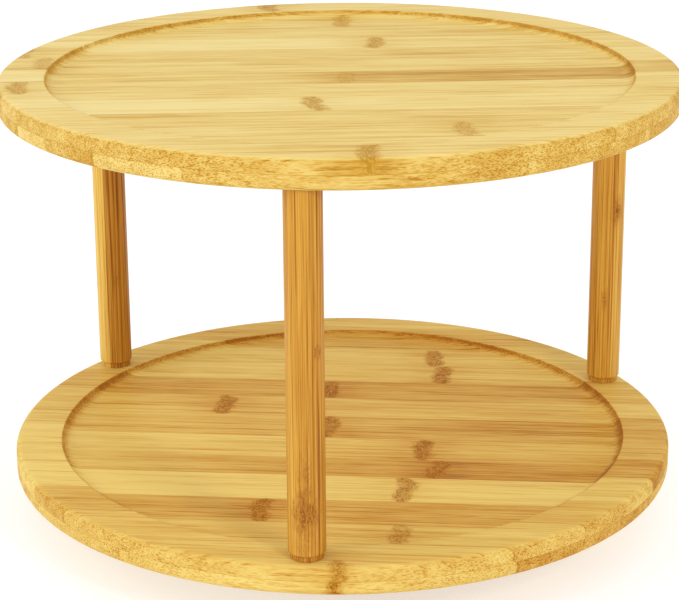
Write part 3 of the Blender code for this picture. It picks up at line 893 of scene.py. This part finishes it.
def makePlate(name, node, body, upsideDown):
    low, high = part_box(node)
    mesh = turnedMesh(node, soften(bearing["pressing"], bearing["bend"]), steps=160)
    z = high.z if upsideDown else low.z
    piece = asObject(name, mesh, (0, 0, z), upsideDown, -45.0 if upsideDown else 0.0)
    sheet = piece.modifiers.new("sheet", "SOLIDIFY")
    sheet.thickness = bearing["sheet"] * mm
    sheet.offset = -1
    sheet.use_even_offset = True
    settle(piece)
    shape = bmesh.new()
    shape.from_mesh(piece.data)
    if sum(f.calc_center_median().z * f.normal.z * f.calc_area() for f in shape.faces) < 0:
        bmesh.ops.reverse_faces(shape, faces=shape.faces)
    shape.to_mesh(piece.data)
    shape.free()
    outline = roundedSquare(bearing["plateWidth"], bearing["cornerRadius"], 12)
    blank = prismMesh("blank", outline, low=-5, high=6)
    carve(piece, blank, [Vector((0, 0, 0))], "INTERSECT")
    reach = (bearing["plateWidth"] / 2 - bearing["screwInset"]) * mm
    corners = [Vector((x, y, 0)) for x in (-reach, reach) for y in (-reach, reach)]
    carve(piece, holeMesh(bearing["screwHole"], low=-3, high=5, steps=28), corners)
    place(piece, body, [node], zinc, "plate_steel")


def makeBearing():
    makePlate("lowerBearingPlate", "lower_plate", "base", False)
    makePlate("upperBearingPlate", "upper_plate", "turntable", True)
    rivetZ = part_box("lower_plate")[0].z
    profile = soften(bearing["rivet"], bearing["rivetBend"], closed=True)
    mesh = turnedMesh("rivet", profile, steps=72, closed=True)
    rivet = asObject("centreRivet", mesh, (0, 0, rivetZ))
    place(rivet, "base", ["centre_rivet"], brightZinc, "plate_steel")
    half = bearing["cageThickness"] / 2
    ring = [(bearing["cageInner"], half), (bearing["cageOuter"], half)]
    ring += [(bearing["cageOuter"], -half), (bearing["cageInner"], -half)]
    profile = soften(ring, bearing["cageEdge"], steps=3, closed=True)
    mesh = turnedMesh("cage", profile, steps=128, closed=True)
    cage = asObject("ballCage", mesh, middle("ball_cage"))
    spacing = 360 / bearing["ballCount"]
    pockets = [onCircle(bearing["pitchRadius"] * mm, spacing * i) for i in range(bearing["ballCount"])]
    carve(cage, holeMesh(bearing["pocket"], low=-2, high=2, steps=28), pockets)
    place(cage, "cage", ["ball_cage"], nylon, "cage_nylon")
    for number in range(1, bearing["ballCount"] + 1):
        node = f"ball_{number:02d}"
        shape = bmesh.new()
        bmesh.ops.create_icosphere(shape, subdivisions=4, radius=bearing["ballRadius"] * mm)
        mesh = bpy.data.meshes.new(node)
        shape.to_mesh(mesh)
        shape.free()
        ball = asObject(f"ball{number:02d}", mesh, middle(node), turn=spacing * (number - 1))
        place(ball, node, [node], ballSteel, "ball_steel", sharp=180)


makeBearing()
print("the bearing is pressed, riveted and filled with balls")


# Screws, bolts, studs and inserts

woodScrew = {"shank": 1.6, "head": 3.4, "headHeight": 1.7, "pitch": 1.3, "depth": 0.42, "pointed": True}
footScrew = dict(woodScrew, headHeight=1.0)
postBolt = {"shank": 2.4, "head": 4.7, "headHeight": 2.2, "pitch": 0.8, "depth": 0.35, "pointed": False}
threadStart = 0.8  # plain length under every head
# reach and depth are shares of the head's radius and height; flare narrows the arms' ends, taper the floor
crossSlot = {"halfWidth": 0.45, "reach": 0.6, "depth": 0.55, "taper": 0.72, "flare": 0.7}
stud = {"radius": 2.4, "ease": 0.7, "pitch": 0.8, "depth": 0.35}
insert = {"bore": 2.7, "outer": 3.6, "lead": 0.6, "collarHeight": 1.2, "pitch": 1.8, "depth": 0.55}


def threadRows(top, bottom, radius, pitch):
    # rows close enough together to carry the thread
    count = max(2, round((top - bottom) / pitch * 6))
    return [(radius, top + (bottom - top) * i / count) for i in range(count + 1)]


def screwMesh(name, size, length):
    shank = size["shank"]
    head = size["head"]
    height = size["headHeight"]
    profile = [(0, height)] + arc(head * 0.45, height * 0.3, head * 0.55, height * 0.7, 90, 0, 7)
    profile += [(head, 0.06), (head - 0.08, 0), (shank, 0)]
    tip = shank * 2 if size["pointed"] else shank * 0.3
    profile += threadRows(-threadStart, tip - length, shank, size["pitch"])
    if size["pointed"]:
        profile += [(shank * 0.78, 0.66 * tip - length), (shank * 0.42, 0.3 * tip - length), (0, -length)]
    else:
        profile += [(shank * 0.72, -length), (0, -length)]
    thread = dict(size, top=-threadStart, bottom=tip * 0.5 - length)
    return turnedMesh(name, profile, steps=30, thread=thread)


def crossMesh(head, height):
    half = crossSlot["halfWidth"]
    arm = head * crossSlot["reach"]
    armEnd = half * crossSlot["flare"]
    floor = height * (1 - crossSlot["depth"])
    outline = []
    for turn in range(4):
        c, s = round(math.cos(turn * math.pi / 2)), round(math.sin(turn * math.pi / 2))
        for x, y in ((arm, -armEnd), (arm, armEnd), (half, half)):
            outline.append((x * c - y * s, x * s + y * c))
    return prismMesh("cross", outline, floor, height + 1, crossSlot["taper"])


def makeScrews(name, nodes, body, size, upsideDown):
    for number, node in enumerate(nodes, start=1):
        low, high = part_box(node)
        centre = (low + high) / 2
        length = (high.z - low.z) / mm - size["headHeight"]
        z = low.z + size["headHeight"] * mm if upsideDown else high.z - size["headHeight"] * mm
        mesh = screwMesh(node, size, length)
        piece = asObject(f"{name}{number}", mesh, (centre.x, centre.y, z), upsideDown)
        carve(piece, crossMesh(size["head"], size["headHeight"]), [Vector((0, 0, 0))])
        place(piece, body, [node], brightZinc, "fastener_steel", sharp=40)


def makeStud(number):
    node = f"post_stud_{number}"
    low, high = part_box(node)
    centre = (low + high) / 2
    length = (high.z - low.z) / mm
    radius = stud["radius"]
    ease = stud["ease"]
    profile = [(0, length), (radius - ease, length)]
    profile += threadRows(length - ease, ease, radius, stud["pitch"])
    profile += [(radius - ease, 0), (0, 0)]
    thread = dict(stud, top=length - ease, bottom=ease)
    mesh = turnedMesh("stud", profile, steps=30, thread=thread)
    rod = asObject(f"postStud{number}", mesh, (centre.x, centre.y, low.z))
    place(rod, "turntable", [node], brightZinc, "fastener_steel", sharp=40)


def makeInsert(name, node):
    low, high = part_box(node)
    centre = (low + high) / 2
    length = (high.z - low.z) / mm
    bore = insert["bore"]
    outer = insert["outer"]
    lead = outer - insert["lead"]
    collar = insert["collarHeight"]
    thread = dict(insert, top=length - 0.3, bottom=collar + 0.2)
    profile = [(bore, length), (lead, length)]
    profile += threadRows(thread["top"], thread["bottom"], outer, insert["pitch"])
    profile += [(lead, collar), (outer, collar), (outer, 0), (bore, 0)]
    mesh = turnedMesh(node, profile, steps=36, closed=True, thread=thread)
    sleeve = asObject(name, mesh, (centre.x, centre.y, low.z))
    place(sleeve, "turntable", [node], brass, "insert_brass", sharp=40)


makeScrews("upperPlateScrew", numbered("upper_plate_screw", 4), "turntable", woodScrew, True)
makeScrews("lowerPlateScrew", numbered("lower_plate_screw", 4), "base", woodScrew, False)
makeScrews("footScrew", numbered("foot_screw", 4), "base", footScrew, True)
makeScrews("postBolt", numbered("post_bolt", 3), "turntable", postBolt, True)
for number in (1, 2, 3):
    makeStud(number)
    makeInsert(f"postInsert{number}", f"post_insert_{number}")
    makeInsert(f"trayInsert{number}", f"tray_insert_{number}")
print("screws, bolts, studs and inserts are in")


# Base disc and its feet

base = {
    "edgeRound": 1.8,
    "flatRadius": 50,
    "accessHole": 6.25,
    "accessEase": 0.5,
    "pilot": 1.9,
    "plateScrewEnd": 0.9,  # height over the underside where the plate's screw holes end
    "footScrewEnd": 6.1,  # and the height that the feet's screw holes reach
    "steps": 224,
    "turn": 12.0,
    "pale": (0.84, 0.65, 0.21),
    "honey": (0.73, 0.49, 0.13),
    "amber": (0.59, 0.31, 0.05),
    "deep": (0.40, 0.15, 0.012),
    "knotTan": (0.44, 0.16, 0.014),
    "knotBrown": (0.20, 0.045, 0.004),
    "knotBark": 0.8,
    "lean": 0.0,
    "edgeTone": 0.1,
    "rimFade": 0.0,
    "recessShade": 0.0,
    "plyShift": 29.0,
    "plySlide": 34.0,
    "strips": [
        (-128, 0.50, 0.0, 200, 0.0),
        (-62, 0.30, 0.1, 20, 0.6),
        (-43, 0.75, 0.0, -35, 0.8),
        (-24, 0.40, -0.1, 48, 0.7),
        (-4, 0.60, 0.1, -12, 0.8),
        (16, 0.20, 0.0, 30, 0.6),
        (35, 0.85, 0.1, -24, 0.9),
        (54, 0.45, 0.0, 10, 0.5),
    ],
}

foot = {
    "radius": 8.0,
    "edgeRound": 0.6,
    "topEase": 0.2,
    "bore": 1.9,
    "sink": 3.7,
    "sinkEase": 0.3,
    "seat": 1.6,
}


def makeBase():
    low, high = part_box("base_disc")
    radius = (high.x - low.x) / 2 / mm
    thickness = (high.z - low.z) / mm
    rounding = base["edgeRound"]
    flatRadius = base["flatRadius"]
    profile = [(0, thickness), (flatRadius, thickness)]
    profile += arc(radius - rounding, thickness - rounding, rounding, rounding, 90, 0, 7)
    profile += arc(radius - rounding, rounding, rounding, rounding, 0, -90, 7) + [(flatRadius, 0), (0, 0)]
    disc = asObject("baseDisc", turnedMesh("baseDisc", profile, base["steps"]), (0, 0, low.z))
    hole = base["accessHole"]
    ease = base["accessEase"]
    above = thickness + tray["overcut"]
    under = -tray["overcut"]
    access = [(0, above), (hole + ease, above), (hole + ease, thickness), (hole, thickness - ease)]
    access += [(hole, ease), (hole + ease, 0), (hole + ease, under), (0, under)]
    accessPlace = flat([middle("upper_plate_screw_1")])
    carve(disc, turnedMesh("access", access, steps=48), accessPlace)
    plateScrews = flat([middle(node) for node in numbered("lower_plate_screw", 4)])
    footScrews = flat([middle(node) for node in numbered("foot_screw", 4)])
    carve(disc, holeMesh(base["pilot"], base["plateScrewEnd"], above, steps=20), plateScrews)
    carve(disc, holeMesh(base["pilot"], under, base["footScrewEnd"], steps=20), footScrews)
    place(disc, "base", ["base_disc"], boardFinish("baseBamboo", base, thickness / 2), "base_bamboo")


def makeFoot(number):
    node = f"rubber_foot_{number}"
    low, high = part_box(node)
    centre = (low + high) / 2
    height = (high.z - low.z) / mm
    radius = foot["radius"]
    rounding = foot["edgeRound"]
    ease = foot["topEase"]
    sink = foot["sink"]
    profile = [(foot["bore"], height), (radius - ease, height), (radius, height - ease)]
    profile += arc(radius - rounding, rounding, rounding, rounding, 0, -90, 6)
    profile += [(sink + foot["sinkEase"], 0), (sink, foot["sinkEase"]), (sink, foot["seat"])]
    profile += [(foot["bore"], foot["seat"])]
    mesh = turnedMesh(node, profile, steps=64, closed=True)
    pad = asObject(f"rubberFoot{number}", mesh, (centre.x, centre.y, low.z))
    place(pad, "base", [node], rubber, "foot_rubber")


makeBase()
for number in (1, 2, 3, 4):
    makeFoot(number)
print("the base stands on its rubber feet")
